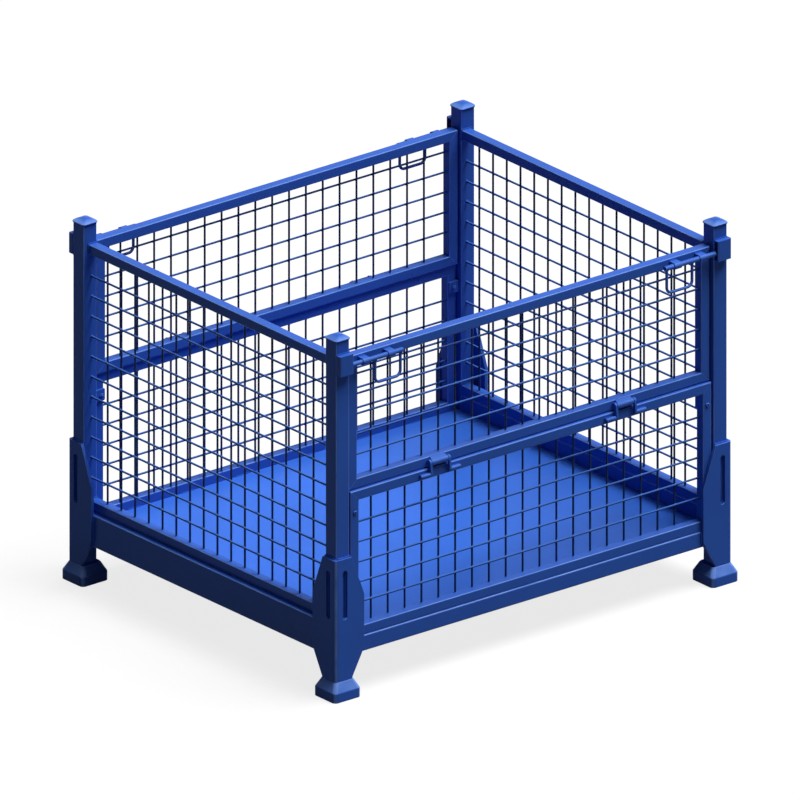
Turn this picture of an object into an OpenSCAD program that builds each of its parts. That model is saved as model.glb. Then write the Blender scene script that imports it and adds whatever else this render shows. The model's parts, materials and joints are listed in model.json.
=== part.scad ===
// Stackable wire mesh container with a half-drop gate in each long side.
// X runs along the long side, Y to the back and Z up. The origin is on the floor, under the middle.

/* [Overall] */
// Length over the feet, along X
overall_length = 1200; // [900:10:1600]
// Depth over the feet, along Y
overall_depth = 1000; // [700:10:1400]
// Height from the floor to the tips of the post caps
overall_height = 898; // [850:1:1100]
// Height of the cap tips above the top edge of the gates and the side panels
head_room = 60; // [45:1:130]

/* [Posts and caps] */
// Outside of the square post tube
post_size = 40; // [36:1:50]
// Wall of the post tube
post_wall = 3; // [2:0.5:5]
// Outside corner radius of the posts and the base beams
tube_corner_r = 4; // [3:0.5:6]
// Outside of the square cap plate
cap_size = 47; // [40:1:52]
// Thickness of the cap plate
cap_plate = 4.5; // [3:0.5:8]
// Corner radius of the cap plate
cap_corner_r = 2; // [1:0.5:5]
// Rise of the low pyramid on the cap plate
cap_rise = 8; // [3:0.5:12]

/* [Feet] */
// Outside of the square foot bell
foot_size = 80; // [72:1:110]
// Height of the straight skirt of the bell
foot_skirt = 23; // [15:1:32]
// Height of the whole foot
foot_height = 46; // [40:1:60]
// Sheet thickness of the bell
foot_wall = 3; // [2:0.5:5]
// Corner radius of the bell
foot_corner_r = 10; // [6:1:16]
// Depth of the socket that takes the cap of the container below
stack_depth = 38; // [10:1:40]
// Thickness of the seat between the socket and the end of the post
seat_plate = 4; // [2:0.5:5]

/* [Corner gussets] */
// Plate thickness of the gussets
gusset_plate = 8; // [4:0.5:10]
// Width of a gusset leg along the base beams
gusset_width = 85; // [76:1:130]
// Height of the top edge of the gussets
gusset_top = 347; // [325:1:430]
// Height at which the upper slope of a gusset begins
gusset_slope_z = 248; // [200:1:290]
// Height at which the lower taper of a gusset ends
gusset_taper_z = 115; // [90:1:160]
// Outside bend radius of the gusset corner
gusset_bend_r = 9; // [5:0.5:14]
// Width of the weld slot in each gusset leg
slot_width = 14; // [8:1:20]
// Length of the weld slot, end to end
slot_length = 122; // [60:1:140]
// Height of the middle of the weld slot
slot_z = 257; // [210:1:265]

/* [Base] */
// Clear height under the base for forks
fork_clearance = 100; // [80:1:130]
// Height of the beams under the long sides
front_beam_height = 40; // [30:1:60]
// Height of the beams under the short sides
side_beam_height = 80; // [50:1:120]
// Wall of the base beams
beam_wall = 3; // [2:0.5:5]
// Width of the two bearers under the floor
bearer_width = 40; // [30:1:80]
// Distance between the middles of the bearers
bearer_spacing = 300; // [200:10:400]
// Thickness of the floor sheet
floor_sheet_t = 2; // [1.5:0.5:5]

/* [Panels and gates] */
// Outside of the square tube that the panels and gates are framed with
rail_size = 25; // [20:1:30]
// Wall of the frame tube
rail_wall = 2; // [1.5:0.5:3]
// Outside corner radius of the frame tube
rail_corner_r = 3; // [2:0.5:4]
// Height of the top edge of the fixed lower panels
split_z = 503; // [495:1:550]
// Gap between a lower panel and the gate above it
gate_gap = 1.5; // [1:0.5:5]
// Gap between the stiles and the posts
stile_gap = 5; // [3:0.5:8]
// Distance of a lower panel's face behind the faces of the posts
panel_setback = 2; // [1:0.5:8]
// Distance of a gate's face behind the faces of the posts
gate_setback = 9; // [9:0.5:14]
// Distance of a side panel's face behind the faces of the posts
side_setback = 14; // [5:0.5:15]

/* [Mesh] */
// Pitch of the wires in both directions
mesh_pitch = 50; // [30:1:100]
// Diameter of the wires
wire_d = 5; // [3:0.5:8]
// Distance of the first wires from one end of a mesh and from the rail below it
first_wire = 52; // [20:1:80]
// Height of the first cross wire of a gate above its bottom rail
gate_first_wire = 56; // [20:1:80]
// Distance of the mesh of a lower panel behind the panel's face
panel_mesh_in = 19; // [12:0.5:19]

/* [Hinges] */
// Distance of a hinge from the middle of its gate
hinge_x = 275; // [150:5:330]
// Distance of the hinge axis in front of the lower panel
hinge_out = 6.5; // [6.5:0.5:9]
// Distance of the hinge axis below the top of the lower panel
hinge_drop = 12.5; // [8:0.5:14]
// Diameter of the hinge pins
pin_d = 7; // [5:0.5:8]
// Outside radius of the knuckles on the lower panel and of the eyes in the gate's ears
knuckle_r = 5.5; // [5:0.5:6]
// Length of a knuckle
knuckle_length = 26.5; // [15:0.5:40]
// Thickness of the heads on the ends of the pin
pin_head = 1.5; // [1:0.5:4]
// Length of a pin past the inner face of its ear
pin_end = 1; // [0.5:0.5:4]
// Thickness of the ears that turn on the pin
ear_plate = 5.5; // [4:0.5:8]
// Distance between the inner faces of the two ears of a hinge
ear_span = 50; // [46:1:80]
// Gap between an ear and the knuckle beside it
ear_gap = 0.5; // [0.3:0.1:2]
// Radius of the bar that joins the ears to the gate's bottom rail
bar_r = 8; // [7:0.5:9]
// Distance of the bar's axis below the top of the gate's bottom rail
bar_drop = 12.5; // [12:0.5:15]
// Width of the sloping filler between the rail and the bar
filler_width = 43; // [30:1:46]

/* [Latches] */
// Diameter of the latch bolts
bolt_d = 12; // [8:0.5:12]
// Distance of the bolt's axis in front of the faces of the posts
bolt_out = 6.5; // [6.5:0.5:8]
// Distance of the bolt's axis below the middle of the gate's top rail
bolt_drop = 2; // [0:0.5:4.5]
// Travel of a bolt into its keeper
bolt_throw = 15; // [8:1:25]
// Distance of the outer leg of the handle from the post's middle, with the bolt shut
handle_offset = 75; // [70:1:120]
// Width of the handle, between the middles of its legs
handle_width = 75; // [60:1:110]
// Drop of the handle below the bolt
handle_drop = 62; // [40:1:90]
// Diameter of the handle's wire
handle_d = 7; // [5:0.5:7]
// Bend radius of the handle, at the middle of its wire
handle_bend_r = 14; // [8:1:20]
// Length of the bolt past the inner leg of the handle
bolt_tail = 6; // [5:1:20]
// Gap between the tip of the drawn bolt and its keeper
bolt_tip_gap = 2; // [1:0.5:4]
// Length of a guide sleeve
guide_length = 20; // [8:1:24]
// Outside radius of a guide sleeve
guide_r = 8.5; // [8:0.5:10]
// Gap between a handle leg and the guide it stops at, with the bolt shut
leg_gap = 1; // [0.5:0.5:4]
// Height of a keeper
keeper_height = 50; // [30:1:60]
// Distance of the middle of a keeper above the bolt
keeper_rise = 6; // [0:1:8]
// Wall of a keeper
keeper_wall = 3; // [2:0.5:4]
// Depth of a keeper's pocket
keeper_depth = 13; // [13:0.5:16]

/* [Panel fixings] */
// Height of the bolts that hold the lower panels
fixing_z = 450; // [400:1:456]
// Diameter of the panel bolts
fixing_d = 12; // [8:1:12]
// Diameter of the washers of the panel bolts
washer_d = 25; // [24:1:28]
// Thickness of the washers
washer_t = 2; // [1:0.5:3]
// Thickness of the tab behind a stile
tab_plate = 6; // [4:0.5:10]
// Height of the tab behind a stile
tab_height = 40; // [30:1:60]

/* [Clearances] */
// Radial clearance of the hinge pins and the latch bolts in their eyes
running_gap = 0.08; // [0.02:0.01:0.1]
// Radial clearance of the panel bolts in their holes
hole_gap = 0.5; // [0.3:0.1:1]
// Gap between the two layers of wires
layer_gap = 0.02; // [0.01:0.01:0.1]

/* [Hidden] */
$fn = 48;
paint = [0.16, 0.33, 0.78];

// Places of the posts and their faces
post_x = (overall_length - foot_size) / 2;
post_y = (overall_depth - foot_size) / 2;
inner_x = post_x - post_size / 2;
inner_y = post_y - post_size / 2;
outer_x = post_x + post_size / 2;
outer_y = post_y + post_size / 2;
post_foot = stack_depth + seat_plate;
post_head = overall_height - cap_rise - cap_plate;
foot_neck = post_size + 2 * gusset_plate;

// Levels of the base
base_top = fork_clearance + front_beam_height;
side_beam_top = fork_clearance + side_beam_height;

// Faces of the panels and gates
panel_top = overall_height - head_room;
panel_front = outer_y - panel_setback;
panel_back = panel_front - rail_size;
gate_front = outer_y - gate_setback;
gate_foot = split_z + gate_gap;
gate_sill = gate_foot + rail_size;
stile_outer = inner_x - stile_gap;
stile_inner = stile_outer - rail_size;
stile_mid = stile_outer - rail_size / 2;
side_mid = outer_x - side_setback - rail_size / 2;

// Hinge axis, the pieces along it and the slope from the gate's rail down to the bar
pin_r = pin_d / 2;
hinge_y = panel_front + hinge_out;
hinge_z = split_z - hinge_drop;
ear_out = ear_span / 2 + ear_plate;
knuckle_in = ear_out + ear_gap;
pin_half = knuckle_in + knuckle_length;
pin_head_r = pin_r + 1;
pin_start = ear_span / 2 - pin_end;
bar_y = gate_front + bar_r;
bar_z = gate_sill - bar_drop;
bar_tilt = atan2(bar_drop, bar_r) - asin(bar_r / norm([bar_drop, bar_r]));

// Places of the latch, with the bolt drawn back
bolt_y = outer_y + bolt_out;
bolt_z = panel_top - rail_size / 2 - bolt_drop;
bolt_tip = inner_x - bolt_tip_gap;
handle_outer = post_x - handle_offset - bolt_throw;
handle_inner = handle_outer - handle_width;
guide_step = bolt_throw + handle_d / 2 + leg_gap + guide_length / 2;

// Sizes of the panel bolts
fixing_r = fixing_d / 2;
hex_r = 0.92 * fixing_d;
head_t = 0.65 * fixing_d;
nut_t = 0.8 * fixing_d;
tab_length = inner_x - stile_inner + fixing_d;

// Placing helpers: pieces are drawn for the right or the front, and mirrored for the other side

module hand(x_sign) {
    if (x_sign < 0) mirror([1, 0, 0]) children();
    else children();
}

module face(y_sign) {
    if (y_sign > 0) mirror([0, 1, 0]) children();
    else children();
}

// A post's own place, with its outward corner towards +X and -Y before mirroring
module corner(x_sign, y_sign) {
    face(y_sign) hand(x_sign) translate([post_x, -post_y, 0]) children();
}

module each_corner() {
    for (x_sign = [-1, 1], y_sign = [-1, 1]) face(y_sign) hand(x_sign) children();
}

// Sections and tubes

module round_rect(w, h, r) {
    square([w - 2 * r, h], center = true);
    square([w, h - 2 * r], center = true);
    for (x = [-1, 1], y = [-1, 1])
        translate([x * (w / 2 - r), y * (h / 2 - r)]) circle(r);
}

module tube_section(w, h, wall, r) {
    difference() {
        round_rect(w, h, r);
        round_rect(w - 2 * wall, h - 2 * wall, max(r - wall, wall / 4));
    }
}

module tube_along_x(length, w, h, wall, r) {
    rotate([90, 0, 90]) linear_extrude(length, center = true) tube_section(w, h, wall, r);
}

module tube_along_y(length, w, h, wall, r) {
    rotate([90, 0, 0]) linear_extrude(length, center = true) tube_section(w, h, wall, r);
}

// Frame tube along X with mitred ends, its long edge up or down
module mitred_rail(length, long_side) {
    top = length / 2 + rail_size / 2;
    bottom = length / 2 - 1.5 * rail_size;
    z = long_side * rail_size;
    intersection() {
        tube_along_x(length + rail_size, rail_size, rail_size, rail_wall, rail_corner_r);
        rotate([90, 0, 0]) linear_extrude(2 * rail_size, center = true)
            polygon([[-top, z], [top, z], [bottom, -z], [-bottom, -z]]);
    }
}

// Welded mesh: upright wires behind and cross wires in front, standing on z = 0
module wire_mesh(w, h, first_cross) {
    layer = (wire_d + layer_gap) / 2;
    uprights = floor((w - first_wire - mesh_pitch / 2) / mesh_pitch) + 1;
    crosses = floor((h - first_cross - mesh_pitch / 2) / mesh_pitch) + 1;
    for (i = [0 : uprights - 1])
        translate([first_wire + i * mesh_pitch - w / 2, layer, 0]) cylinder(d = wire_d, h = h);
    for (i = [0 : crosses - 1])
        translate([0, -layer, first_cross + i * mesh_pitch]) rotate([0, 90, 0])
            cylinder(d = wire_d, h = w, center = true);
}

// Corner pieces

module post(x_sign, y_sign) {
    color(paint) corner(x_sign, y_sign) translate([0, 0, post_foot])
        linear_extrude(post_head - post_foot) tube_section(post_size, post_size, post_wall, tube_corner_r);
}

module ridge(size, rise) {
    rotate([90, 0, 0]) linear_extrude(size, center = true)
        polygon([[-size / 2, 0], [size / 2, 0], [0, rise]]);
}

module cap(x_sign, y_sign) {
    color(paint) corner(x_sign, y_sign) translate([0, 0, post_head]) {
        linear_extrude(cap_plate) round_rect(cap_size, cap_size, cap_corner_r);
        translate([0, 0, cap_plate]) intersection() {
            ridge(cap_size, cap_rise);
            rotate([0, 0, 90]) ridge(cap_size, cap_rise);
            linear_extrude(cap_rise) round_rect(cap_size, cap_size, cap_corner_r);
        }
    }
}

// Side view of the bell, drawn in by an inset all round
module bell_profile(inset, z0) {
    skirt = foot_size / 2 - inset;
    neck = foot_neck / 2 - inset;
    top = foot_height - inset;
    polygon([[-skirt, z0], [skirt, z0], [skirt, foot_skirt], [neck, top], [-neck, top], [-skirt, foot_skirt]]);
}

module bell(inset, z0) {
    intersection() {
        rotate([90, 0, 0]) linear_extrude(foot_size, center = true) bell_profile(inset, z0);
        rotate([90, 0, 90]) linear_extrude(foot_size, center = true) bell_profile(inset, z0);
        translate([0, 0, z0]) linear_extrude(foot_height - z0)
            round_rect(foot_size - 2 * inset, foot_size - 2 * inset, foot_corner_r - inset);
    }
}

// Pressed bell with a seat inside that stands on the cap of the container below
module foot(x_sign, y_sign) {
    below = -1;
    color(paint) corner(x_sign, y_sign) difference() {
        bell(0, 0);
        intersection() {
            bell(foot_wall, below);
            translate([0, 0, below]) linear_extrude(stack_depth - below) square(foot_size, center = true);
        }
        translate([0, 0, post_foot]) linear_extrude(foot_height)
            round_rect(post_size, post_size, tube_corner_r);
    }
}

// Outline of one gusset leg, from its outer edge at x = 0 inwards
module gusset_outline() {
    end = post_size + gusset_plate;
    polygon([
        [0, foot_height], [end, foot_height], [gusset_width, gusset_taper_z],
        [gusset_width, gusset_slope_z], [end, gusset_top], [0, gusset_top]
    ]);
}

module slot_outline() {
    straight = slot_length - slot_width;
    square([slot_width, straight], center = true);
    for (end = [-1, 1]) translate([0, end * straight / 2]) circle(d = slot_width);
}

// One leg lies on the face towards -Y, with its outer edge towards +X
module gusset_leg(depth) {
    edge = post_size / 2 + gusset_plate;
    translate([edge, -post_size / 2, 0]) rotate([90, 0, 0]) linear_extrude(depth)
        mirror([1, 0]) gusset_outline();
}

module slot_cut() {
    translate([0, -post_size / 2, slot_z]) rotate([90, 0, 0])
        linear_extrude(3 * gusset_plate, center = true) slot_outline();
}

// Plate bent round the outer corner of a post, over the ends of two base beams
module gusset(x_sign, y_sign) {
    span = 2 * gusset_width;
    edge = post_size / 2 + gusset_plate;
    color(paint) corner(x_sign, y_sign) difference() {
        intersection() {
            linear_extrude(gusset_top) difference() {
                translate([edge - span / 2, span / 2 - edge]) round_rect(span, span, gusset_bend_r);
                translate([post_size / 2 - span / 2, span / 2 - post_size / 2])
                    round_rect(span, span, tube_corner_r);
            }
            union() {
                gusset_leg(2 * gusset_plate);
                mirror([1, 1, 0]) gusset_leg(2 * gusset_plate);
            }
        }
        slot_cut();
        mirror([1, 1, 0]) slot_cut();
    }
}

// Base pieces

module long_beam(y_sign) {
    color(paint) face(y_sign) translate([0, -post_y, fork_clearance + front_beam_height / 2])
        tube_along_x(2 * inner_x, post_size, front_beam_height, beam_wall, tube_corner_r);
}

module side_beam(x_sign) {
    color(paint) hand(x_sign) translate([post_x, 0, fork_clearance + side_beam_height / 2])
        tube_along_y(2 * inner_y, post_size, side_beam_height, beam_wall, tube_corner_r);
}

module bearer(y_sign) {
    color(paint) face(y_sign)
        translate([0, -bearer_spacing / 2, fork_clearance + front_beam_height / 2])
        tube_along_x(2 * inner_x, bearer_width, front_beam_height, beam_wall, tube_corner_r);
}

module floor_sheet() {
    color(paint) translate([-inner_x, -panel_back, base_top])
        cube([2 * inner_x, 2 * panel_back, floor_sheet_t]);
}

// Side panels, welded between the posts

module side_rail(x_sign, z) {
    color(paint) hand(x_sign) translate([side_mid, 0, z + rail_size / 2])
        tube_along_y(2 * inner_y, rail_size, rail_size, rail_wall, rail_corner_r);
}

module side_mesh(x_sign) {
    foot = side_beam_top + rail_size;
    color(paint) hand(x_sign) face(1) translate([side_mid, 0, foot]) rotate([0, 0, 90])
        wire_mesh(2 * inner_y, panel_top - rail_size - foot, first_wire);
}

// Frames of the lower panels and the gates, told apart by their face and their levels

module frame_rail(y_sign, front, z, long_side) {
    face(y_sign) translate([0, rail_size / 2 - front, z + rail_size / 2])
        mitred_rail(2 * stile_outer, long_side);
}

module frame_stiles(y_sign, front, z0, z1) {
    face(y_sign) for (x_sign = [-1, 1])
        translate([x_sign * stile_mid, rail_size / 2 - front, (z0 + z1) / 2])
            rotate([0, -90, 0]) mitred_rail(z1 - z0, -x_sign);
}

module frame_mesh(y_sign, y, z0, z1, first_cross) {
    face(y_sign) translate([0, -y, z0 + rail_size])
        wire_mesh(2 * stile_inner, z1 - z0 - 2 * rail_size, first_cross);
}

module panel_top_rail(y_sign) {
    color(paint) frame_rail(y_sign, panel_front, split_z - rail_size, 1);
}

module panel_bottom_rail(y_sign) {
    color(paint) frame_rail(y_sign, panel_front, base_top, -1);
}

module panel_stiles(y_sign) {
    color(paint) difference() {
        frame_stiles(y_sign, panel_front, base_top, split_z);
        face(y_sign) for (x_sign = [-1, 1])
            translate([x_sign * stile_mid, 0, fixing_z]) rotate([90, 0, 0])
                cylinder(r = fixing_r + hole_gap, h = overall_depth);
    }
}

module panel_mesh(y_sign) {
    color(paint) frame_mesh(y_sign, panel_front - panel_mesh_in, base_top, split_z, first_wire);
}

module gate_top_rail(y_sign) {
    color(paint) frame_rail(y_sign, gate_front, panel_top - rail_size, 1);
}

module gate_bottom_rail(y_sign) {
    color(paint) frame_rail(y_sign, gate_front, gate_foot, -1);
}

module gate_stiles(y_sign) {
    color(paint) frame_stiles(y_sign, gate_front, gate_foot, panel_top);
}

module gate_mesh(y_sign) {
    color(paint) frame_mesh(y_sign, gate_front - rail_size / 2, gate_foot, panel_top, gate_first_wire);
}

// Hinges

module rod_along_x(r, length) {
    rotate([0, 90, 0]) cylinder(r = r, h = length, center = true);
}

module at_hinges(y_sign) {
    face(y_sign) for (x_sign = [-1, 1]) translate([x_sign * hinge_x, -hinge_y, hinge_z]) children();
}

// Side view of an ear, from the bar on the gate's rail down to the eye round the pin
module ear_profile() {
    front = bar_y - hinge_y + bar_r;
    back = pin_r / 2 - knuckle_r;
    rise = bar_z - hinge_z;
    difference() {
        union() {
            circle(knuckle_r);
            translate([bar_y - hinge_y, rise]) circle(bar_r);
            polygon([[back, 0], [knuckle_r, 0], [front, rise], [back, rise]]);
        }
        circle(pin_r + running_gap);
    }
}

// Side view of the bar with the filler that slopes down to it from the rail
module bar_profile() {
    circle(bar_r);
    polygon([
        [-bar_r, -bar_r], [0, -bar_r], [bar_r * sin(bar_tilt), bar_r * cos(bar_tilt)], [-bar_r, bar_drop]
    ]);
}

// Turns a side view, drawn outwards and up, into a plate of some width across the hinge
module across(width) {
    rotate([90, 0, -90]) linear_extrude(width, center = true) children();
}

// Bar welded to the gate's bottom rail, with an ear at each end that turns on the pin
module hinge_straps(y_sign) {
    color(paint) at_hinges(y_sign) {
        translate([0, hinge_y - bar_y, bar_z - hinge_z]) {
            rod_along_x(bar_r, ear_span);
            across(filler_width) bar_profile();
        }
        for (end = [-1, 1]) translate([end * (ear_span + ear_plate) / 2, 0, 0])
            across(ear_plate) ear_profile();
    }
}

// Knuckles welded to the top rails of the lower panels, one outside each ear
module hinge_lugs() {
    web = 1.2 * knuckle_r;
    color(paint) for (y_sign = [-1, 1], end = [-1, 1]) at_hinges(y_sign)
        translate([end * (knuckle_in + knuckle_length / 2), 0, 0]) difference() {
            union() {
                rod_along_x(knuckle_r, knuckle_length);
                translate([-knuckle_length / 2, 0, -web / 2]) cube([knuckle_length, hinge_out, web]);
            }
            rod_along_x(pin_r + running_gap, 2 * knuckle_length);
        }
}

// Short pins through the knuckles into the ears, headed at their outer ends
module hinge_pins() {
    color(paint) for (y_sign = [-1, 1], end = [-1, 1]) at_hinges(y_sign) {
        translate([end * (pin_start + pin_half) / 2, 0, 0]) rod_along_x(pin_r, pin_half - pin_start);
        translate([end * (pin_half + pin_head / 2), 0, 0]) rod_along_x(pin_head_r, pin_head);
    }
}

// Latches: a bolt with a drop handle slides in two guides on the gate, into a keeper on the post

module bolt_guides(y_sign) {
    reach = bolt_y - gate_front;
    color(paint) face(y_sign) for (x_sign = [-1, 1], leg = [handle_inner, handle_outer])
        translate([x_sign * (leg + guide_step), -bolt_y, bolt_z]) difference() {
            union() {
                rod_along_x(guide_r, guide_length);
                translate([-guide_length / 2, 0, -guide_r]) cube([guide_length, reach, 2 * guide_r]);
            }
            rod_along_x(bolt_d / 2 + running_gap, 2 * guide_length);
        }
}

// Quarter bend of the handle's wire, at its lower outer corner
module handle_bend() {
    rotate([-90, 0, 0]) rotate_extrude(angle = 90) translate([handle_bend_r, 0]) circle(d = handle_d);
}

// The bolt is drawn back at rest, with its tip just short of the keeper
module latch(x_sign, y_sign) {
    leg = handle_drop - handle_bend_r;
    bolt_start = handle_inner - bolt_tail;
    color(paint) face(y_sign) hand(x_sign) translate([0, -bolt_y, bolt_z]) {
        translate([(bolt_start + bolt_tip) / 2, 0, 0]) rod_along_x(bolt_d / 2, bolt_tip - bolt_start);
        for (x = [handle_inner, handle_outer]) translate([x, 0, -leg]) cylinder(d = handle_d, h = leg);
        translate([handle_inner + handle_bend_r, 0, -leg]) mirror([1, 0, 0]) handle_bend();
        translate([handle_outer - handle_bend_r, 0, -leg]) handle_bend();
        translate([(handle_inner + handle_outer) / 2, 0, -handle_drop])
            rod_along_x(handle_d / 2, handle_width - 2 * handle_bend_r);
    }
}

// Box folded on the post's face, open towards the gate
module latch_keepers() {
    depth = keeper_depth + keeper_wall;
    color(paint) each_corner() translate([post_x, -outer_y, bolt_z + keeper_rise]) difference() {
        intersection() {
            linear_extrude(keeper_height, center = true) round_rect(post_size, 2 * depth, tube_corner_r);
            translate([-post_size / 2, -depth, -keeper_height / 2]) cube([post_size, depth, keeper_height]);
        }
        translate([-post_size, -keeper_depth, keeper_wall - keeper_height / 2])
            cube([1.5 * post_size - keeper_wall, 2 * keeper_depth, keeper_height - 2 * keeper_wall]);
    }
}

// Fixings of the lower panels

module panel_tabs() {
    color(paint) each_corner() translate([inner_x - tab_length, -panel_back, fixing_z]) difference() {
        translate([0, 0, -tab_height / 2]) cube([tab_length, tab_plate, tab_height]);
        translate([stile_mid - inner_x + tab_length, 0, 0]) rotate([90, 0, 0])
            cylinder(r = fixing_r + hole_gap, h = 4 * tab_plate, center = true);
    }
}

// Hexagon bolt from the face of the stile, with its nut behind the tab
module panel_bolts() {
    grip = rail_size + tab_plate;
    color(paint) each_corner() translate([stile_mid, -panel_front, fixing_z]) rotate([90, 0, 0]) {
        cylinder(d = washer_d, h = washer_t);
        translate([0, 0, washer_t]) cylinder(r = hex_r, h = head_t, $fn = 6);
        translate([0, 0, -grip - washer_t - nut_t]) cylinder(r = fixing_r, h = grip + 2 * washer_t + nut_t);
        translate([0, 0, -grip - washer_t]) cylinder(d = washer_d, h = washer_t);
        translate([0, 0, -grip - washer_t - nut_t]) cylinder(r = hex_r, h = nut_t, $fn = 6);
    }
}

post(-1, -1);  // post_front_left
post(1, -1);  // post_front_right
post(-1, 1);  // post_back_left
post(1, 1);  // post_back_right
cap(-1, -1);  // cap_front_left
cap(1, -1);  // cap_front_right
cap(-1, 1);  // cap_back_left
cap(1, 1);  // cap_back_right
foot(-1, -1);  // foot_front_left
foot(1, -1);  // foot_front_right
foot(-1, 1);  // foot_back_left
foot(1, 1);  // foot_back_right
gusset(-1, -1);  // gusset_front_left
gusset(1, -1);  // gusset_front_right
gusset(-1, 1);  // gusset_back_left
gusset(1, 1);  // gusset_back_right
long_beam(-1);  // front_beam
long_beam(1);  // back_beam
side_beam(-1);  // left_beam
side_beam(1);  // right_beam
bearer(-1);  // front_bearer
bearer(1);  // back_bearer
floor_sheet();
side_rail(-1, panel_top - rail_size);  // left_top_rail
side_rail(-1, side_beam_top);  // left_bottom_rail
side_mesh(-1);  // left_mesh
side_rail(1, panel_top - rail_size);  // right_top_rail
side_rail(1, side_beam_top);  // right_bottom_rail
side_mesh(1);  // right_mesh
panel_top_rail(-1);  // front_panel_top_rail
panel_bottom_rail(-1);  // front_panel_bottom_rail
panel_stiles(-1);  // front_panel_stiles
panel_mesh(-1);  // front_panel_mesh
panel_top_rail(1);  // back_panel_top_rail
panel_bottom_rail(1);  // back_panel_bottom_rail
panel_stiles(1);  // back_panel_stiles
panel_mesh(1);  // back_panel_mesh
gate_top_rail(-1);  // front_gate_top_rail
gate_bottom_rail(-1);  // front_gate_bottom_rail
gate_stiles(-1);  // front_gate_stiles
gate_mesh(-1);  // front_gate_mesh
gate_top_rail(1);  // back_gate_top_rail
gate_bottom_rail(1);  // back_gate_bottom_rail
gate_stiles(1);  // back_gate_stiles
gate_mesh(1);  // back_gate_mesh
hinge_straps(-1);  // front_gate_hinge_straps
hinge_straps(1);  // back_gate_hinge_straps
hinge_lugs();
hinge_pins();
bolt_guides(-1);  // front_gate_bolt_guides
bolt_guides(1);  // back_gate_bolt_guides
latch(-1, -1);  // latch_front_left
latch(1, -1);  // latch_front_right
latch(-1, 1);  // latch_back_left
latch(1, 1);  // latch_back_right
latch_keepers();
panel_tabs();
panel_bolts();
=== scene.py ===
"""Stackable wire mesh container: finishes, wires, welds, light and camera round its solids."""

import json
import math

import bmesh
import bpy
from mathutils import Matrix, Vector

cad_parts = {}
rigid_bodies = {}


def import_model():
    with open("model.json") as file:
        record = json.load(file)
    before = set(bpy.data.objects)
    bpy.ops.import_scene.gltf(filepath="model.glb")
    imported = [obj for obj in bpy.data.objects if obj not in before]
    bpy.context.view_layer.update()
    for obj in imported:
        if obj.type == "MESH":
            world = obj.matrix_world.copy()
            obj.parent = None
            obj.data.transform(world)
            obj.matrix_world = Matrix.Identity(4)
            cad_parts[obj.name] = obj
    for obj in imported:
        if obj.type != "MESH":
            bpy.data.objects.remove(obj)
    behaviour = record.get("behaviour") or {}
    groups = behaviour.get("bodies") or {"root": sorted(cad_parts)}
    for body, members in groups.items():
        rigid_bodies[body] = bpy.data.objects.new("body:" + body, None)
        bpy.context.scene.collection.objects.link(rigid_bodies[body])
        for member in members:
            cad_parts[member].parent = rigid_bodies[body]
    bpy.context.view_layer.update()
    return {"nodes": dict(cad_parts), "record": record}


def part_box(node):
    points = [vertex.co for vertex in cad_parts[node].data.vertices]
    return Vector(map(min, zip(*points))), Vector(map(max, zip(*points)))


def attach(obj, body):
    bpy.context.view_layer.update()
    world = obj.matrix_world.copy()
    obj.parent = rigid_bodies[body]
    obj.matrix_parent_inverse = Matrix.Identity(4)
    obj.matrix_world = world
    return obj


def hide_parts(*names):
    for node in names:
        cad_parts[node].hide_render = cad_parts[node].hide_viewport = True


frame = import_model()

NODES = frame["nodes"]
BODIES = frame["record"]["behaviour"]["bodies"]
BODY_OF = {node: body for body, nodes in BODIES.items() for node in nodes}
SLOT_OF = {part["node"]: part["material_slot"] for part in frame["record"]["subparts"]}
MM = 0.001

# Sizes of the container that the dressing follows, in millimetres
POST_X, POST_Y = 560, 460
POST_HALF, POST_CORNER = 20, 4
POST_HEAD = 885.5
GUSSET_PLATE = 8
GUSSET_WIDTH = 85
GUSSET_TOP = 347
GUSSET_TAPER = 115
SLOT_Z = 257
SLOT_LENGTH = 122
SLOT_WIDTH = 14
FOOT_TOP = 46
BASE_FOOT, BASE_TOP, SIDE_TOP = 100, 140, 180
BEARER_Y, BEARER_HALF = 150, 21
FLOOR_TOP = 142
RAIL = 25
SIDE_INNER, SIDE_OUTER = 540, 567
PANEL_TOP = 838
PANEL_FRONT, PANEL_BACK = 478, 453
STILE_MIDDLE = 522.5
FIXING_Z = 450
GATE_FRONT = 471
GATE_SILL = 529.5
HINGE_X, HINGE_Z = 275, 490.5
HINGE_BAR_Y, HINGE_BAR_Z = 479, 517
HINGE_BAR_RADIUS, HINGE_BAR_HALF = 8, 24
FILLER_HALF = 21
KNUCKLE_HALF, KNUCKLE_ENDS = 4.0, (32, 57)
BOLT_Y, BOLT_Z = 486.5, 823.5
HANDLE_LEGS = (395, 470)
GUIDES, GUIDE_HALF = (424.5, 499.5), 9
KEEPER_ENDS = (542, 577)
KEEPER_SEAMS = (803.6, 855.4)
WIRE_PITCH = 50
FIRST_WIRE = 52
GATE_FIRST_WIRE = 56
WIRE_RADIUS = 2.5


# Node trees


class Value:
    """A node's output, for use in sums and as another node's input."""

    def __init__(self, net, socket):
        self.net = net
        self.socket = socket

    def of(self, name):
        return Value(self.net, self.socket.node.outputs[name])

    def _maths(self, operation, first, second):
        return self.net.node("ShaderNodeMath", {0: first, 1: second}, operation=operation)

    def __add__(self, other):
        return self._maths("ADD", self, other)

    __radd__ = __add__

    def __sub__(self, other):
        return self._maths("SUBTRACT", self, other)

    def __rsub__(self, other):
        return self._maths("SUBTRACT", other, self)

    def __mul__(self, other):
        return self._maths("MULTIPLY", self, other)

    __rmul__ = __mul__


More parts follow.
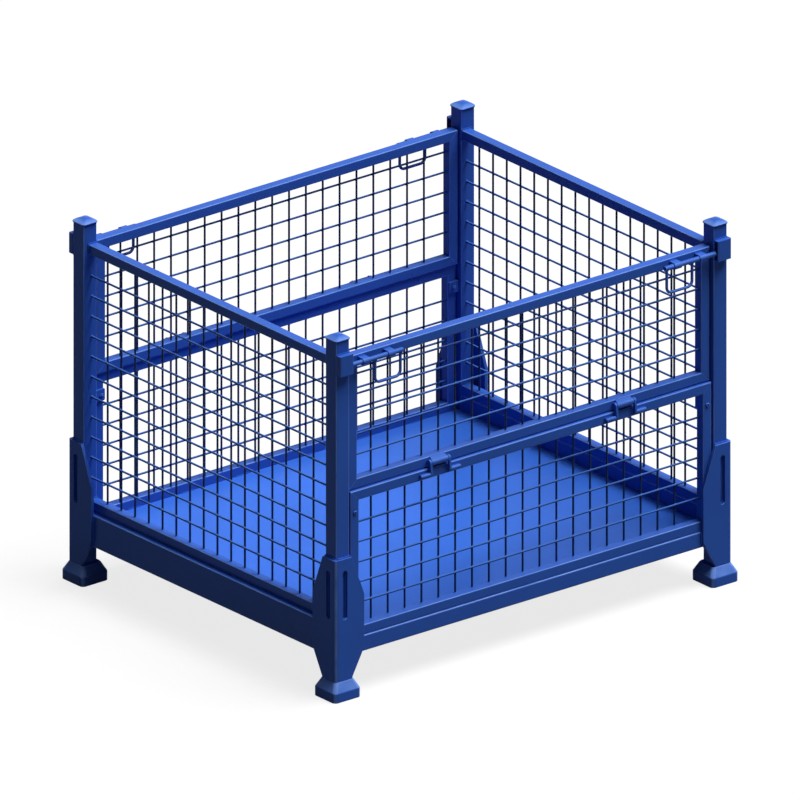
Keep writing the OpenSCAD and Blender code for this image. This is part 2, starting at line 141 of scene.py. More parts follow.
class Net:
    """A node tree that is filled through one method."""

    def __init__(self, tree):
        self.tree = tree

    def node(self, kind, sockets=None, stops=None, **settings):
        made = self.tree.nodes.new(kind)
        for name, setting in settings.items():
            setattr(made, name, setting)
        if stops:
            ramp = made.color_ramp.elements
            while len(ramp) < len(stops):
                ramp.new(1.0)
            for element, (place, shade) in zip(ramp, stops):
                element.position = place
                element.color = (shade, shade, shade, 1.0)
        for key, value in (sockets or {}).items():
            self.feed(made.inputs[key], value)
        return Value(self, made.outputs[0]) if made.outputs else None

    def feed(self, socket, value):
        if isinstance(value, list):
            for each in value:
                self.feed(socket, each)
        elif isinstance(value, Value):
            self.tree.links.new(value.socket, socket)
        else:
            socket.default_value = value


class Finish(Net):
    """A material, with its surface shader added at the end."""

    def __init__(self, name):
        self.material = bpy.data.materials.new(name)
        self.material.use_nodes = True
        self.material.node_tree.nodes.clear()
        super().__init__(self.material.node_tree)

    def noise(self, place, scale, detail=2.0, roughness=0.5):
        sockets = {"Vector": place, "Scale": scale, "Detail": detail, "Roughness": roughness}
        return self.node("ShaderNodeTexNoise", sockets)

    def ramp(self, value, stops):
        return self.node("ShaderNodeValToRGB", {"Fac": value}, stops=stops)

    def rounding(self, normal):
        """Zero on faces square to the container's axes, one on the bends and edges between them."""
        parts = self.node("ShaderNodeSeparateXYZ", {"Vector": normal})
        squares = [parts.of(axis) * parts.of(axis) for axis in "XYZ"]
        flatness = sum(square * square for square in squares)
        return self.ramp(1 - flatness, [(0.10, 0.0), (0.50, 1.0)])

    def blend(self, factor, first, second):
        return self.node("ShaderNodeMix", {0: factor, 6: first, 7: second}, data_type="RGBA").of(2)

    def surface(self, shader):
        self.node("ShaderNodeOutputMaterial", {"Surface": shader})


class Pattern(Net):
    """A geometry node tree with named inputs, used to make plain meshes."""

    def __init__(self, name, inputs):
        tree = bpy.data.node_groups.new(name, "GeometryNodeTree")
        super().__init__(tree)
        new_socket = tree.interface.new_socket
        new_socket("Geometry", in_out="INPUT", socket_type="NodeSocketGeometry")
        self.ids = {
            label: new_socket(label, in_out="INPUT", socket_type="NodeSocket" + kind).identifier
            for label, kind in {**inputs, "Finish": "Material"}.items()
        }
        new_socket("Geometry", in_out="OUTPUT", socket_type="NodeSocketGeometry")
        self.start = self.node("NodeGroupInput")

    def given(self, label):
        return self.start.of(label)

    def vector(self, x=0.0, y=0.0, z=0.0):
        return self.node("ShaderNodeCombineXYZ", {"X": x, "Y": y, "Z": z})

    def join(self, *parts):
        return self.node("GeometryNodeJoinGeometry", {"Geometry": list(parts)})

    def smooth(self, geometry):
        return self.node("GeometryNodeSetShadeSmooth", {"Geometry": geometry})

    def finish(self, geometry):
        whole = self.node("GeometryNodeRealizeInstances", {"Geometry": geometry})
        paint = self.given("Finish")
        painted = self.node("GeometryNodeSetMaterial", {"Geometry": whole, "Material": paint})
        self.node("NodeGroupOutput", {"Geometry": painted})

    def mesh(self, name, values, base=None):
        """Runs the tree on a base mesh and returns the result as a plain mesh."""
        carrier = bpy.data.objects.new(name, base or bpy.data.meshes.new(name))
        bpy.context.scene.collection.objects.link(carrier)
        modifier = carrier.modifiers.new(name, "NODES")
        modifier.node_group = self.tree
        for label, value in values.items():
            modifier[self.ids[label]] = value
        made = plain_mesh(carrier)
        bpy.data.objects.remove(carrier)
        return made


def plain_mesh(carrier):
    graph = bpy.context.evaluated_depsgraph_get()
    return bpy.data.meshes.new_from_object(carrier.evaluated_get(graph), depsgraph=graph)


def add_piece(name, mesh, body, stands_for=()):
    """Puts a finished mesh in the scene, on a body and in place of the CAD nodes that it stands for."""
    mesh.name = name
    piece = bpy.data.objects.new(name, mesh)
    bpy.context.scene.collection.objects.link(piece)
    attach(piece, body)
    if stands_for:
        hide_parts(*stands_for)


# Paint


BLUE = (0.032, 0.112, 0.500)
# Floor sheet's blue made lighter than the frame's, as painted light making up for the shade that the
# wires and gates cast on it
SHEET_LIT_BLUE = (0.038, 0.145, 0.640)
# Frame blue darkened to navy for the wires, as painted shade on their sides and undersides
WIRE_SHADE_BLUE = (0.013, 0.038, 0.140)
# Lighter blue for the painted highlight and wear on edges and bends, and for the scuffs
WEAR_AND_SHEEN_BLUE = (0.230, 0.395, 0.880)
# Painted light on the tops of the wires
WIRE_TOP_LIGHT_BLUE = (0.065, 0.180, 0.610)


def tone(colour, gain=1.0):
    return tuple(min(1.0, channel * gain) for channel in colour) + (1.0,)


def enamel(name, paint=BLUE, peel=0.10, scuffs=0.0, gloss=0.30, edge_sheen_and_wear=0.0, painted_top_light=0.0):
    """Gloss enamel with orange peel and clouding, lighter on edges and bends as painted highlight and
    worn paint, lighter on top as painted light, and scuffed.
    """
    net = Finish(name)
    surface = net.node("ShaderNodeTexCoord")
    place = surface.of("Object")
    normal = surface.of("Normal")
    clouds = net.noise(place, scale=5.0, detail=3.0)
    grain = net.noise(place, scale=900.0, detail=1.0)
    waves = net.noise(place, scale=45.0)
    colour = net.blend(clouds, tone(paint, 0.86), tone(paint, 1.14))
    speckle = net.noise(place, scale=160.0, detail=3.0, roughness=0.65)
    specks = net.ramp(speckle, [(0.66, 0.0), (0.74, 1.0)])
    colour = net.blend(specks * 0.25, colour, tone(paint, 0.7))
    # Edges and bends drawn lighter: partly a painted highlight along them, partly worn paint
    if edge_sheen_and_wear:
        edge_noise = net.noise(place, scale=11.0, detail=3.0, roughness=0.6)
        edge_share = net.ramp(edge_noise, [(0.30, 0.45), (0.62, 1.0)])
        colour = net.blend(net.rounding(normal) * edge_share * edge_sheen_and_wear, colour, tone(WEAR_AND_SHEEN_BLUE))
    # Painted light: faces turned upward drawn lighter, as if lit from above
    if painted_top_light:
        height = net.node("ShaderNodeSeparateXYZ", {"Vector": normal}).of("Z")
        upward = net.ramp(height, [(0.0, 0.0), (0.7, 1.0)])
        colour = net.blend(upward * painted_top_light, colour, tone(WIRE_TOP_LIGHT_BLUE))
    rough = gloss - 0.05 + clouds * 0.08 + specks * 0.10
    if scuffs:
        marks = 0.0
        for scale in ((6.0, 190.0, 60.0), (170.0, 7.0, 60.0)):
            drawn = net.node("ShaderNodeMapping", {"Vector": place, "Scale": scale})
            streaks = net.noise(drawn, scale=1.0, detail=4.0, roughness=0.6)
            marks = net.ramp(streaks, [(0.60, 0.0), (0.72, 1.0)]) + marks
        trodden = net.noise(place, scale=4.0, detail=3.0, roughness=0.6)
        patches = net.ramp(trodden, [(0.40, 0.0), (0.65, 1.0)])
        worn = marks * patches * scuffs
        colour = net.blend(worn, colour, tone(WEAR_AND_SHEEN_BLUE, 0.55))
        rough = rough + worn * 0.35
    fine = net.node("ShaderNodeBump", {"Height": grain, "Strength": peel, "Distance": 0.0004})
    skin = {"Height": waves, "Strength": 0.10, "Distance": 0.0010, "Normal": fine}
    net.surface(net.node("ShaderNodeBsdfPrincipled", {
        "Base Color": colour, "Roughness": rough, "Normal": net.node("ShaderNodeBump", skin),
        "Coat Weight": 0.02, "Coat Roughness": 0.2, "Specular IOR Level": 0.03,
    }))
    return net.material


frame_enamel = enamel("frame_enamel", edge_sheen_and_wear=0.85)
# Floor sheet in a lighter blue as painted light, and scuffed
floor_enamel = enamel("floor_enamel", SHEET_LIT_BLUE, peel=0.06, scuffs=0.30, gloss=0.36)
# Wires in navy as painted shade, drawn lighter on top as painted light
wire_enamel = enamel("wire_enamel", WIRE_SHADE_BLUE, peel=0.06, gloss=0.33, painted_top_light=0.9)
hardware_enamel = enamel("hardware_enamel", peel=0.08, gloss=0.27, edge_sheen_and_wear=0.30)
weld_enamel = enamel("weld_enamel", peel=0.16, gloss=0.38)


# CAD pieces with eased edges


# Degrees up to which facets join in one face, and past which edges are eased or stay sharp
FLAT_ANGLE, EASED_ANGLE, SHARP_ANGLE = 0.5, 45, 50
# Points closer than this are one, in millimetres
SAME_PLACE = 0.002
# Width of the eased edges, in millimetres
EASE = {"gusset": 1.4, "latch_keepers": 0.8, "front_gate_hinge": 0.9, "back_gate_hinge": 0.9}
PLAIN_EASE = 0.6
# Nodes that are drawn anew further on
OWN_SHAPE = ("_mesh", "foot_", "cap_", "panel_tabs", "panel_bolts")


def with_modifier(mesh, kind, **settings):
    """The mesh as one modifier leaves it."""
    carrier = bpy.data.objects.new(kind, mesh)
    bpy.context.scene.collection.objects.link(carrier)
    modifier = carrier.modifiers.new(kind, kind)
    for name, setting in settings.items():
        setattr(modifier, name, setting)
    made = plain_mesh(carrier)
    bpy.data.objects.remove(carrier)
    return made


def smooth_skin(mesh, sharp=SHARP_ANGLE):
    """Smooth shading over rounded edges, with the flat faces kept flat."""
    mesh.polygons.foreach_set("use_smooth", [True] * len(mesh.polygons))
    mesh.set_sharp_from_angle(angle=math.radians(sharp))
    return with_modifier(mesh, "WEIGHTED_NORMAL", keep_sharp=True)


def eased_mesh(node, ease):
    """Copy of a CAD node with its facets joined, its sharp edges rounded and its curves smooth."""
    mesh = NODES[node].data.copy()
    work = bmesh.new()
    work.from_mesh(mesh)
    bmesh.ops.remove_doubles(work, verts=work.verts, dist=SAME_PLACE * MM)
    flat = math.radians(FLAT_ANGLE)
    bmesh.ops.dissolve_limit(work, angle_limit=flat, verts=work.verts, edges=work.edges)
    work.to_mesh(mesh)
    work.free()
    steep = math.radians(EASED_ANGLE)
    rounding = {"width": ease * MM, "segments": 2, "limit_method": "ANGLE", "angle_limit": steep}
    return smooth_skin(with_modifier(mesh, "BEVEL", **rounding))


def by_start(table, node, default):
    return next((value for start, value in table.items() if node.startswith(start)), default)


def dress_cad_nodes():
    finishes = {"frame_paint": frame_enamel, "hardware_paint": hardware_enamel}
    for node in NODES:
        if any(part in node for part in OWN_SHAPE):
            continue
        mesh = eased_mesh(node, by_start(EASE, node, PLAIN_EASE))
        mesh.materials.clear()
        mesh.materials.append(floor_enamel if node == "floor_sheet" else finishes[SLOT_OF[node]])
        add_piece(node + "_eased", mesh, BODY_OF[node], [node])


# Feet and caps


def rounded_square(half, corner, z, steps=6):
    """Points round a square with rounded corners, in order."""
    points = []
    for quarter in range(4):
        turn = quarter * math.pi / 2
        centre = Vector((half - corner, half - corner, 0))
        for step in range(steps + 1):
            angle = step / steps * math.pi / 2
            point = centre + corner * Vector((math.cos(angle), math.sin(angle), 0))
            points.append(Matrix.Rotation(turn, 3, "Z") @ point + Vector((0, 0, z)))
    return points


# Half width, corner radius and height of the pressed bell, from its top round the rim to its seat
BELL = (
    (26.2, 8.0, 46.0), (27.2, 8.6, 45.8), (28.1, 9.2, 45.2), (29.0, 9.6, 43.8),
    (38.6, 11.0, 25.4), (39.4, 11.2, 24.0), (39.9, 11.3, 22.4), (40.0, 11.3, 20.5),
    (40.0, 11.3, 0.9), (39.7, 11.1, 0.25), (39.0, 10.6, 0.0),
    (37.8, 9.6, 0.0), (37.2, 9.0, 0.3), (37.0, 8.8, 1.0), (37.0, 8.8, 20.0),
    (36.6, 8.6, 22.4), (29.2, 7.6, 36.8), (27.8, 7.4, 38.0),
)
# The same for the domed cap, from the end of the post to its crown
DOME = (
    (19.8, 4.0, 885.5), (19.8, 4.0, 887.6), (22.8, 9.6, 887.7), (23.4, 10.0, 888.1),
    (23.5, 10.1, 888.7), (23.3, 10.0, 889.4), (22.4, 9.7, 890.3), (20.0, 8.9, 892.0),
    (16.5, 7.6, 894.0), (12.5, 6.0, 895.8), (8.0, 4.0, 897.1), (4.0, 2.2, 897.8), (1.0, 0.6, 898.0),
)


def add_skin(work, loops):
    """Closed skin over loops of points in millimetres, from the first loop to the last."""
    rings = [[work.verts.new(Vector(point) * MM) for point in loop] for loop in loops]
    for upper, lower in zip(rings, rings[1:]):
        count = len(upper)
        for i in range(count):
            j = (i + 1) % count
            work.faces.new((upper[i], lower[i], lower[j], upper[j]))
    work.faces.new(rings[0])
    work.faces.new(reversed(rings[-1]))


def skinned_mesh(work, name, finish, sharp=SHARP_ANGLE):
    bmesh.ops.recalc_face_normals(work, faces=work.faces)
    mesh = bpy.data.meshes.new(name)
    work.to_mesh(mesh)
    work.free()
    mesh.materials.append(finish)
    return smooth_skin(mesh, sharp)


CORNERS = {"front_left": (-1, -1), "front_right": (1, -1), "back_left": (-1, 1), "back_right": (1, 1)}


def make_corner_shells(kind, form, rings):
    """One closed shell of rounded squares at each post, in place of its plain solid."""
    for corner, (side, face) in CORNERS.items():
        work = bmesh.new()
        middle = Vector((side * POST_X, face * POST_Y, 0))
        add_skin(work, [[point + middle for point in rounded_square(*ring)] for ring in rings])
        mesh = skinned_mesh(work, corner, frame_enamel)
        add_piece(f"{kind}_{corner}_{form}", mesh, "frame", [f"{kind}_{corner}"])


# Fixings of the lower panels


# Half width, corner radius and depth of a tab, from the back of the stile inwards
TAB = ((14.2, 2.8, 0.0), (14.7, 3.2, 0.6), (14.7, 3.2, 5.4), (14.2, 2.8, 6.0))
TAB_HALF, TAB_DEPTH = 14.7, 6.0
# Radius and height of a button head with its socket, a hexagon nut and the end of the screw
HEAD = (
    (5.2, 0.0), (5.6, 0.3), (5.6, 1.0), (5.2, 2.0), (4.3, 2.8),
    (3.2, 3.2), (2.5, 3.3), (2.3, 3.1), (2.3, 1.4),
)
NUT = ((5.3, 0.0), (5.8, 0.4), (5.8, 4.5), (5.3, 5.0))
SCREW_END = ((3.0, 4.0), (3.0, 6.6), (2.6, 7.0))


def turned_loops(rings, sides, place, way):
    """Loops round an axis along Y, each at its height out from the place."""
    x, y, z = place
    angles = [2 * math.pi * step / sides for step in range(sides)]
    return [
        [(x + radius * math.cos(angle), y + way * out, z + radius * math.sin(angle)) for angle in angles]
        for radius, out in rings
    ]


def make_fixings():
    tabs, screws = bmesh.new(), bmesh.new()
    for side, face in CORNERS.values():
        x = side * (POST_X - POST_HALF - TAB_HALF)
        outlines = [rounded_square(*ring) for ring in TAB]
        add_skin(tabs, [
            [(x + across, face * (PANEL_BACK - depth), FIXING_Z + up) for across, up, depth in outline]
            for outline in outlines
        ])
        head_place = (side * STILE_MIDDLE, face * PANEL_FRONT, FIXING_Z)
        nut_place = (side * STILE_MIDDLE, face * (PANEL_BACK - TAB_DEPTH), FIXING_Z)
        add_skin(screws, turned_loops(HEAD, 24, head_place, face))
        add_skin(screws, turned_loops(NUT, 6, nut_place, -face))
        add_skin(screws, turned_loops(SCREW_END, 16, nut_place, -face))
    tab_mesh = skinned_mesh(tabs, "tabs", hardware_enamel, sharp=40)
    add_piece("panel_tabs_welded", tab_mesh, "frame", ["panel_tabs"])
    screw_mesh = skinned_mesh(screws, "screws", hardware_enamel, sharp=32)
    add_piece("panel_screws", screw_mesh, "frame", ["panel_bolts"])


# Wire mesh


def wire_panel():
    """Welded panel: uprights behind, cross wires in front, a weld at each crossing and wire end."""
    net = Pattern("wire_panel", {
        "Width": "Float", "Height": "Float", "Pitch": "Float", "Wire Radius": "Float",
        "First Upright": "Float", "First Cross": "Float", "Uprights": "Int", "Crosses": "Int",
    })
    width, height, pitch = net.given("Width"), net.given("Height"), net.given("Pitch")
    radius = net.given("Wire Radius")
    uprights, crosses = net.given("Uprights"), net.given("Crosses")
    section = net.node("GeometryNodeCurvePrimitiveCircle", {"Resolution": 14, "Radius": radius})
    nugget = net.smooth(net.node("GeometryNodeMeshIcoSphere", {"Radius": radius, "Subdivisions": 2}))

    def wire(start, end):
        line = net.node("GeometryNodeCurvePrimitiveLine", {"Start": start, "End": end})
        tube = {"Curve": line, "Profile Curve": section, "Fill Caps": True}
        return net.smooth(net.node("GeometryNodeCurveToMesh", tube))

    def nugget_at(place, scale):
        placing = {"Geometry": nugget, "Translation": place, "Scale": scale}
        return net.node("GeometryNodeTransform", placing)

    def row(count, start, step):
        spacing = {"Count": count, "Start Location": start, "Offset": step}
        return net.node("GeometryNodeMeshLine", spacing)

    def spread(points, instance):
        return net.node("GeometryNodeInstanceOnPoints", {"Points": points, "Instance": instance})

    back, front = radius, radius * -1.0
    left, right = width * -0.5, width * 0.5
    collar, side_collar = (1.5, 1.5, 0.5), (0.5, 1.5, 1.5)
    pressed = (1.25, 0.72, 1.25)
    upright = net.join(
        wire(net.vector(y=back), net.vector(y=back, z=height)),
        nugget_at(net.vector(y=back), collar),
        nugget_at(net.vector(y=back, z=height), collar),
    )
    cross = net.join(
        wire(net.vector(x=left, y=front), net.vector(x=right, y=front)),
        nugget_at(net.vector(x=left, y=front), side_collar),
        nugget_at(net.vector(x=right, y=front), side_collar),
    )
    columns = row(uprights, net.vector(x=net.given("First Upright")), net.vector(x=pitch))
    levels = row(crosses, net.vector(z=net.given("First Cross")), net.vector(z=pitch))
    crossings = net.node("GeometryNodeRealizeInstances", {"Geometry": spread(columns, levels)})
    weld = nugget_at(net.vector(), pressed)
    net.finish(net.join(spread(columns, upright), spread(levels, cross), spread(crossings, weld)))
    return net


PANEL_TURN = {"left": -90, "right": 90, "front": 0, "back": 180}


def wire_count(length, first):
    """Wires that fit after the first one, with half a pitch left at the end."""
    return math.floor((length / MM - first - WIRE_PITCH / 2) / WIRE_PITCH) + 1


def make_wire_panels():
    pattern = wire_panel()
    for node in NODES:
        if not node.endswith("_mesh"):
            continue
        low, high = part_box(node)
        middle, span = (low + high) / 2, high - low
        width = max(span.x, span.y)
        face = node.split("_")[0]
        uprights = wire_count(width, FIRST_WIRE)
        first_upright = FIRST_WIRE * MM - width / 2
        if face in ("back", "right"):
            first_upright = -first_upright - (uprights - 1) * WIRE_PITCH * MM
        first_cross = GATE_FIRST_WIRE if "gate" in node else FIRST_WIRE
        mesh = pattern.mesh(node, {
            "Width": width, "Height": span.z, "Pitch": WIRE_PITCH * MM, "Wire Radius": WIRE_RADIUS * MM,
            "First Upright": first_upright, "First Cross": first_cross * MM,
            "Uprights": uprights, "Crosses": wire_count(span.z, first_cross), "Finish": wire_enamel,
        })
        place = Matrix.Translation((middle.x, middle.y, low.z))
        mesh.transform(place @ Matrix.Rotation(math.radians(PANEL_TURN[face]), 4, "Z"))
        add_piece(node + "_wires", mesh, BODY_OF[node], [node])


# Welds


# Radius of the beads, and the spacing, length and least and most width of their drops as shares of it
CORNER_BEAD, SEAM_BEAD, CAP_BEAD, FITTING_BEAD, KNUCKLE_BEAD = 2.4, 1.8, 1.3, 1.2, 0.9
DROP_SPACING, DROP_LENGTH, DROP_LEAST, DROP_MOST = 0.85, 0.8, 0.85, 1.15
# How far the middle of a bead stands off the faces that it joins
CORNER_OFF, RAIL_OFF, SEAM_OFF, HINGE_OFF, RIM_OFF = 1.2, 1.0, 0.8, 0.7, 0.6
# Room left at the end of a run, and reach of the runs over gussets, toes and tabs
END_GAP = 1
GUSSET_RUN = (-18, 17)
TOE_RUN = 8
TAB_RUN = 12
# Stitches along a seam, where they start and what they keep clear of the posts
STITCHES, STITCH_LENGTH = 3, 36
STITCH_START, STITCH_CLEAR = 20, 40
# Seams round the end of a hinge bar and round the legs of a handle, under the bolt
BAR_SEAM_RADIUS = 8.2
LEG_SEAM_RADIUS, LEG_SEAM_DROP = 3.9, 5.4


def weld_bead():
    """Row of overlapping drops along each line of the base mesh."""
    net = Pattern("weld_bead", {"Spacing": "Float", "Radius": "Float"})
    run = net.node("GeometryNodeMeshToCurve", {"Mesh": net.given("Geometry")})
    steps = {"Curve": run, "Length": net.given("Spacing")}
    points = net.node("GeometryNodeResampleCurve", steps, mode="LENGTH")
    drop = net.node("GeometryNodeMeshIcoSphere", {"Radius": net.given("Radius"), "Subdivisions": 1})
    way = net.node("GeometryNodeInputTangent")
    along = net.node("FunctionNodeAlignRotationToVector", {"Vector": way}, axis="X")
    sizes = {2: DROP_LEAST, 3: DROP_MOST, "Seed": 7}
    size = net.node("FunctionNodeRandomValue", sizes, data_type="FLOAT").of(1)
    beads = net.node("GeometryNodeInstanceOnPoints", {
        "Points": points, "Instance": net.smooth(drop), "Rotation": along,
        "Scale": net.vector(DROP_LENGTH, size, size),
    })
    net.finish(beads)
    return net


def line_mesh(name, runs):
    """Mesh of bare edges along runs of points given in millimetres."""
    points, edges = [], []
    for run in runs:
        edges += [(len(points) + i, len(points) + i + 1) for i in range(len(run) - 1)]
        points += [Vector(point) * MM for point in run]
    mesh = bpy.data.meshes.new(name)
    mesh.from_pydata(points, edges, [])
    return mesh


def mirrored(runs, side, face):
    """Runs drawn for the corner at +X and +Y, at the corner on the given side and face."""
    return [[(side * x, face * y, z) for x, y, z in run] for run in runs]


def quadrants(runs):
    """The same at all four corners."""
    return [run for side, face in CORNERS.values() for run in mirrored(runs, side, face)]


def swapped(run):
    """The same run on the other leg of a corner, seen across the post's diagonal."""
    return [(POST_X + y - POST_Y, POST_Y + x - POST_X, z) for x, y, z in run]


def stitches(start, end):
    """Short welds at even spacing along a straight seam."""
    start, end = Vector(start), Vector(end)
    way = (end - start).normalized() * STITCH_LENGTH / 2
    middles = [start.lerp(end, (i + 0.5) / STITCHES) for i in range(STITCHES)]
    return [[middle - way, middle + way] for middle in middles]


def arc(across, up, radius, angles):
    """Points at the given angles, in degrees, round a centre, as pairs."""
    turns = [math.radians(angle) for angle in angles]
    return [(across + radius * math.cos(turn), up + radius * math.sin(turn)) for turn in turns]


def slot_run(inset=1.6, steps=24):
    """Line round the inside of a gusset's weld slot, on the face of the post."""
    radius = SLOT_WIDTH / 2 - inset
    straight = (SLOT_LENGTH - SLOT_WIDTH) / 2
    run = []
    for step in range(steps + 1):
        angle = 2 * math.pi * step / steps
        z = SLOT_Z + math.copysign(straight, math.sin(angle)) + radius * math.sin(angle)
        run.append((POST_X + radius * math.cos(angle), POST_Y + POST_HALF + RAIL_OFF, z))
    return run


def corner_runs():
    """Welds of a gusset on its post and beams, of the foot's neck and of the beams' ends."""
    face = POST_Y + POST_HALF + CORNER_OFF
    inner_x, inner_y = POST_X - POST_HALF - CORNER_OFF, POST_Y - POST_HALF - CORNER_OFF
    edge = POST_X + POST_HALF + GUSSET_PLATE - GUSSET_WIDTH - CORNER_OFF
    neck_z = FOOT_TOP + RAIL_OFF
    top = [(POST_X + reach, face, GUSSET_TOP + RAIL_OFF) for reach in GUSSET_RUN]
    toe = [(edge + TOE_RUN, face, BASE_FOOT + END_GAP), (edge, face, GUSSET_TAPER)]
    neck = [
        (inner_x, POST_Y + POST_HALF, neck_z),
        (inner_x, inner_y, neck_z),
        (POST_X + POST_HALF, inner_y, neck_z),
    ]
    beam_end = [(inner_x, inner_y, BASE_FOOT + 2 * END_GAP), (inner_x, inner_y, FLOOR_TOP - 3 * END_GAP)]
    return [
        top, swapped(top), slot_run(), swapped(slot_run()), neck, beam_end,
        toe + [(edge, face, BASE_TOP - END_GAP)], swapped(toe + [(edge, face, SIDE_TOP - END_GAP)]),
    ]


def side_rail_runs():
    """Ends of the side rails on a post, and stitches along the side beam and the floor."""
    y = POST_Y - POST_HALF - RAIL_OFF
    runs = []
    for foot in (SIDE_TOP, PANEL_TOP - RAIL):
        low, top = foot + END_GAP, foot + RAIL + RAIL_OFF
        outline = ((SIDE_OUTER, low), (SIDE_OUTER, top), (SIDE_INNER, top), (SIDE_INNER, low))
        runs.append([(x, y, z) for x, z in outline])
    for x, sheet in ((SIDE_OUTER, SIDE_TOP), (SIDE_INNER - RAIL_OFF, FLOOR_TOP)):
        z = sheet + SEAM_OFF
        runs += stitches((x, STITCH_START, z), (x, y - STITCH_CLEAR, z))
    return runs


def front_rail_runs():
    """Stitches along the floor's long edge, and the welds of the bearers, the tabs and the keepers."""
    floor_y, floor_z = PANEL_BACK - SEAM_OFF, FLOOR_TOP + SEAM_OFF
    last = POST_X - POST_HALF - STITCH_CLEAR
    runs = stitches((STITCH_START, floor_y, floor_z), (last, floor_y, floor_z))
    x = POST_X - POST_HALF - CORNER_OFF
    for y in (BEARER_Y - BEARER_HALF, BEARER_Y + BEARER_HALF):
        runs.append([(x, y, BASE_FOOT + 2 * END_GAP), (x, y, BASE_TOP - 2 * END_GAP)])
    tab_y = PANEL_BACK - TAB_DEPTH - RAIL_OFF
    runs.append([(x, tab_y, FIXING_Z - TAB_RUN), (x, tab_y, FIXING_Z + TAB_RUN)])
    for z in KEEPER_SEAMS:
        runs.append([(end, POST_Y + POST_HALF + RAIL_OFF, z) for end in KEEPER_ENDS])
    return runs


def knuckle_runs():
    """Seams above and below each hinge knuckle, on the lower panel's rail."""
    y = PANEL_FRONT + HINGE_OFF
    runs = []
    for way in (-1, 1):
        for z in (HINGE_Z - KNUCKLE_HALF, HINGE_Z + KNUCKLE_HALF):
            runs.append([(HINGE_X + way * end, y, z) for end in KNUCKLE_ENDS])
    return runs


def gate_runs():
    """Welds of one gate's fittings, for its right half at the back."""
    filler_z = GATE_SILL - RAIL_OFF
    bar_z = HINGE_BAR_Z - HINGE_BAR_RADIUS - RIM_OFF
    runs = []
    for half, z in ((FILLER_HALF, filler_z), (HINGE_BAR_HALF, bar_z)):
        runs.append([(HINGE_X + end, GATE_FRONT + HINGE_OFF, z) for end in (-half, half)])
    for way in (-1, 1):
        x = HINGE_X + way * (HINGE_BAR_HALF + RIM_OFF)
        bend = arc(HINGE_BAR_Y, HINGE_BAR_Z, BAR_SEAM_RADIUS, range(-50, 111, 20))
        runs.append([(x, y, z) for y, z in bend])
    for middle in GUIDES:
        for z in (BOLT_Z - GUIDE_HALF, BOLT_Z + GUIDE_HALF):
            runs.append([(middle + end, GATE_FRONT + SEAM_OFF, z) for end in (-GUIDE_HALF, GUIDE_HALF)])
    return runs


def latch_runs():
    """Seams before and behind the legs of a handle, clear of the guides when the bolt is shut."""
    runs = []
    for leg in HANDLE_LEGS:
        for first in (45, 225):
            bend = arc(leg, BOLT_Y, LEG_SEAM_RADIUS, range(first, first + 91, 15))
            runs.append([(x, y, BOLT_Z - LEG_SEAM_DROP) for x, y in bend])
    return runs


def cap_runs():
    """Seam round the head of a post, under its cap."""
    outline = rounded_square(POST_HALF + RIM_OFF, POST_CORNER, POST_HEAD + CORNER_OFF, steps=3)
    ring = [(POST_X + across, POST_Y + along, z) for across, along, z in outline]
    return [ring + ring[:1]]


def add_welds(pattern, name, runs, body, radius):
    values = {"Spacing": radius * DROP_SPACING * MM, "Radius": radius * MM, "Finish": weld_enamel}
    add_piece(name, pattern.mesh(name, values, line_mesh(name, runs)), body)


def make_welds():
    pattern = weld_bead()
    add_welds(pattern, "corner_welds", quadrants(corner_runs()), "frame", CORNER_BEAD)
    add_welds(pattern, "cap_welds", quadrants(cap_runs()), "frame", CAP_BEAD)
    seams = side_rail_runs() + front_rail_runs()
    add_welds(pattern, "seam_welds", quadrants(seams), "frame", SEAM_BEAD)
    knuckles = quadrants(knuckle_runs())
    add_welds(pattern, "knuckle_welds", knuckles, "frame", KNUCKLE_BEAD)
    for gate, face in (("front", -1), ("back", 1)):
        runs = mirrored(gate_runs(), -1, face) + mirrored(gate_runs(), 1, face)
        add_welds(pattern, f"{gate}_gate_welds", runs, f"{gate}_gate", FITTING_BEAD)
    for corner, (side, face) in CORNERS.items():
        latch = f"latch_{corner}"
        runs = mirrored(latch_runs(), side, face)
        add_welds(pattern, f"{latch}_welds", runs, latch, FITTING_BEAD)


# Studio


WHITE = (1.0, 1.0, 1.0, 1.0)
COOL_WHITE = (0.95, 0.97, 1.0, 1.0)
FLOOR_SEEN, FLOOR_BOUNCED = (0.90, 0.90, 0.91, 1.0), (0.12, 0.12, 0.13, 1.0)
FLOOR_GLOW = 0.80
FLOOR_HALF = 20.0
CAMERA_AZIMUTH = -39.14
CAMERA_ELEVATION = 22.1
CAMERA_DISTANCE = 8.0
CAMERA_REACH = 100.0
VIEW_WIDTH = 1.84
VIEW_CENTRE = (0.0, 0.0, 0.445)


def seen_directly(net):
    """One for rays from the camera and for mirrored or transmitted ones, zero for bounced light."""
    rays = net.node("ShaderNodeLightPath")
    return net.node("ShaderNodeMath", {
        0: rays.of("Is Camera Ray"),
        1: rays.of("Is Glossy Ray") + rays.of("Is Transmission Ray"),
    }, operation="MAXIMUM")


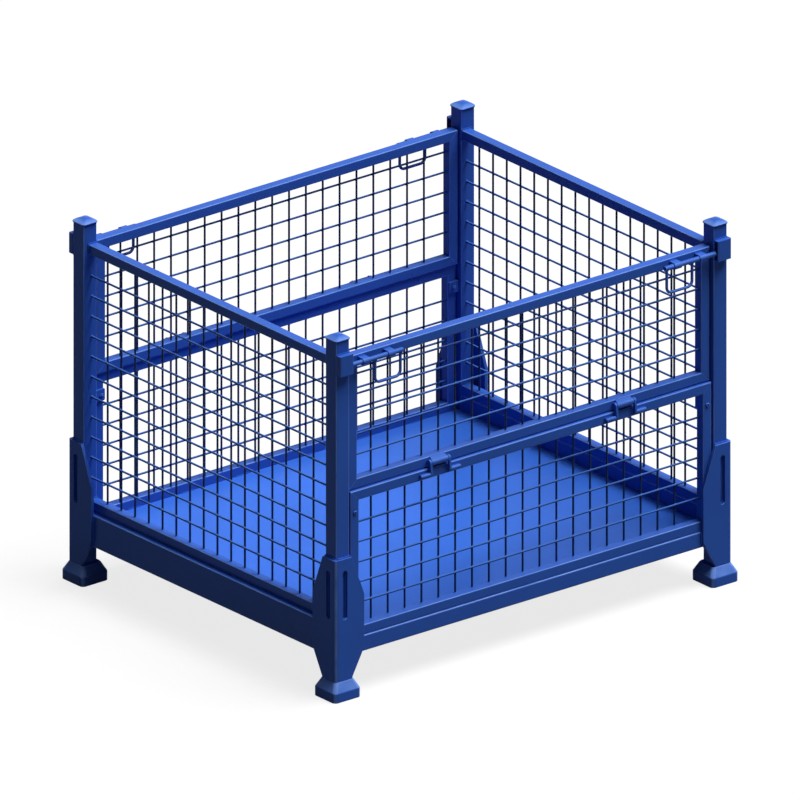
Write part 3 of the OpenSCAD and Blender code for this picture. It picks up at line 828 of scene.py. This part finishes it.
def pale_floor():
    """Floor that looks white, keeps the shadow and throws little light back on the container."""
    net = Finish("pale_floor")
    seen = seen_directly(net)
    colour = net.blend(seen, FLOOR_BOUNCED, FLOOR_SEEN)
    matt = net.node("ShaderNodeBsdfDiffuse", {"Color": colour})
    glow = net.node("ShaderNodeEmission", {"Color": WHITE, "Strength": 1.0})
    net.surface(net.node("ShaderNodeMixShader", {0: seen * FLOOR_GLOW, 1: matt, 2: glow}))
    half = FLOOR_HALF
    corners = [(-half, -half, 0), (half, -half, 0), (half, half, 0), (-half, half, 0)]
    mesh = bpy.data.meshes.new("floor")
    mesh.from_pydata(corners, [], [(0, 1, 2, 3)])
    mesh.materials.append(net.material)
    plane = bpy.data.objects.new("floor", mesh)
    bpy.context.scene.collection.objects.link(plane)


def add_overhead(towards, spread, strength):
    """Broad soft light from far away, so that it falls evenly on the container and the floor."""
    lamp = bpy.data.lights.new("overhead", "SUN")
    lamp.angle = math.radians(spread)
    lamp.energy = strength
    holder = bpy.data.objects.new("overhead", lamp)
    holder.rotation_euler = (-Vector(towards)).to_track_quat("-Z", "Y").to_euler()
    bpy.context.scene.collection.objects.link(holder)


def set_world(shade):
    world = bpy.data.worlds.new("studio")
    world.use_nodes = True
    world.node_tree.nodes.clear()
    net = Net(world.node_tree)
    seen = seen_directly(net)
    dim = net.node("ShaderNodeBackground", {"Color": COOL_WHITE, "Strength": shade})
    pale = net.node("ShaderNodeBackground", {"Color": WHITE, "Strength": 1.0})
    both = net.node("ShaderNodeMixShader", {0: seen, 1: dim, 2: pale})
    net.node("ShaderNodeOutputWorld", {"Surface": both})
    bpy.context.scene.world = world


def set_camera():
    azimuth, elevation = math.radians(CAMERA_AZIMUTH), math.radians(CAMERA_ELEVATION)
    level = math.cos(elevation)
    way = Vector((math.sin(azimuth) * level, -math.cos(azimuth) * level, math.sin(elevation)))
    lens = bpy.data.cameras.new("camera")
    lens.type = "ORTHO"
    lens.ortho_scale = VIEW_WIDTH
    lens.clip_end = CAMERA_REACH
    holder = bpy.data.objects.new("camera", lens)
    holder.location = Vector(VIEW_CENTRE) + way * CAMERA_DISTANCE
    holder.rotation_euler = (-way).to_track_quat("-Z", "Y").to_euler()
    bpy.context.scene.collection.objects.link(holder)
    bpy.context.scene.camera = holder


dress_cad_nodes()
make_corner_shells("foot", "bell", BELL)
make_corner_shells("cap", "dome", DOME)
make_fixings()
make_wire_panels()
make_welds()
pale_floor()
add_overhead(towards=(2.7, -1.8, 8.4), spread=40.0, strength=4.4)
set_world(shade=0.040)
set_camera()
bpy.context.scene.view_settings.view_transform = "Standard"
